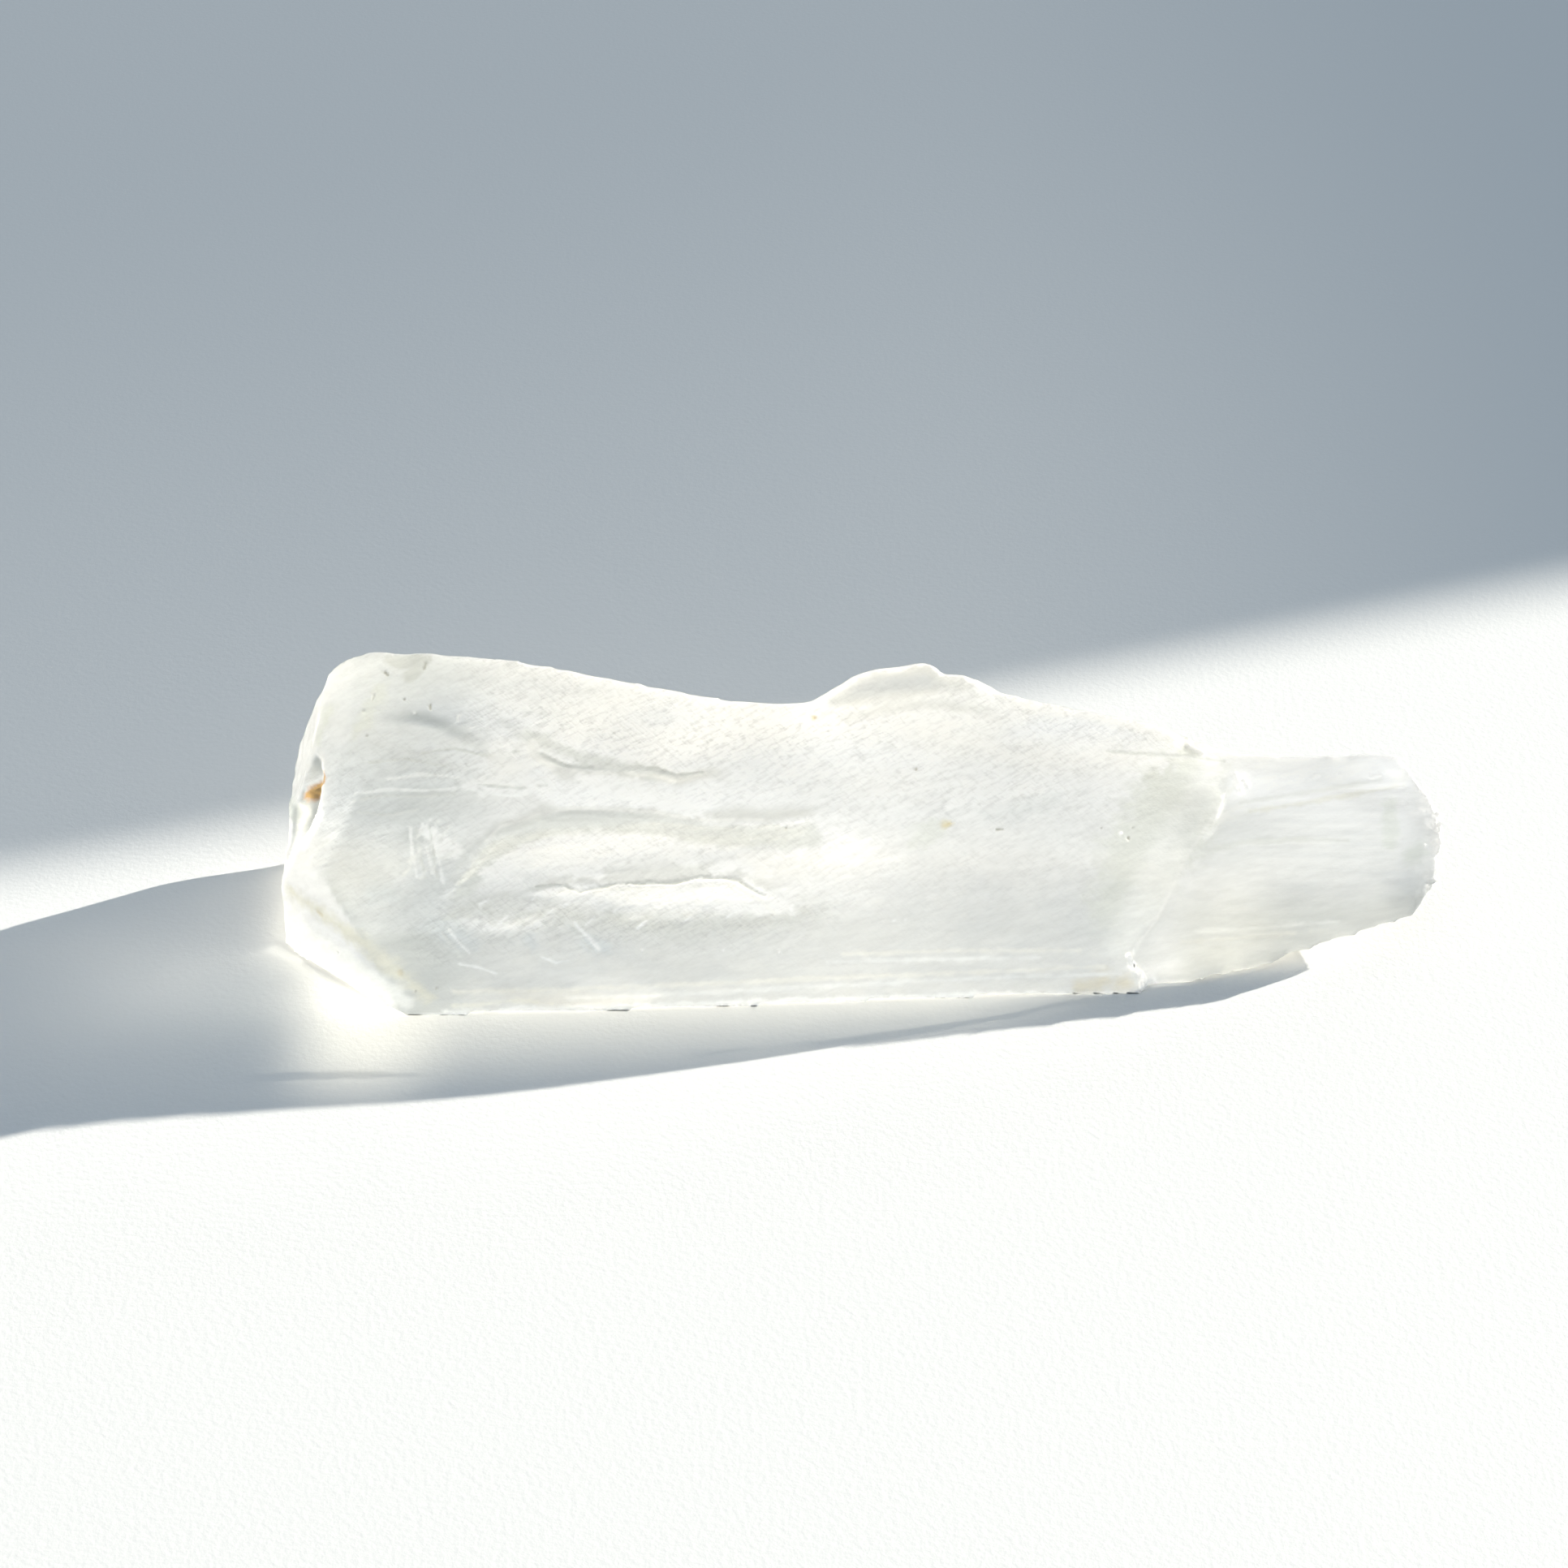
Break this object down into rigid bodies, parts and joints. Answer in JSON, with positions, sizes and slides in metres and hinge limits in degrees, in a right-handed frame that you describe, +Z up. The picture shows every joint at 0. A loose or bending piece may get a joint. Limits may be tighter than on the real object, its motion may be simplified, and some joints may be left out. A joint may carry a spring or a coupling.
{
  "type": "clear quartz crystal",
  "caption": "Raw, broken clear quartz shard: a long tapering crystal lying on a flat face, with stepped fracture ledges down its slope and a snapped tip.",
  "frame": {"origin": "middle of the footprint's box, on the plane that the crystal lies on", "axes": "+X along the crystal from the blunt end to the tip, +Y from the low front foot to the high crest, +Z up"},
  "size_m": [0.0806, 0.0196, 0.0182],
  "materials": {
    "quartz": "natural fracture, satin to glossy, milky-clear"
  },
  "bodies": {
    "root": {"quartz_crystal": "quartz"}
  },
  "joints": []
}
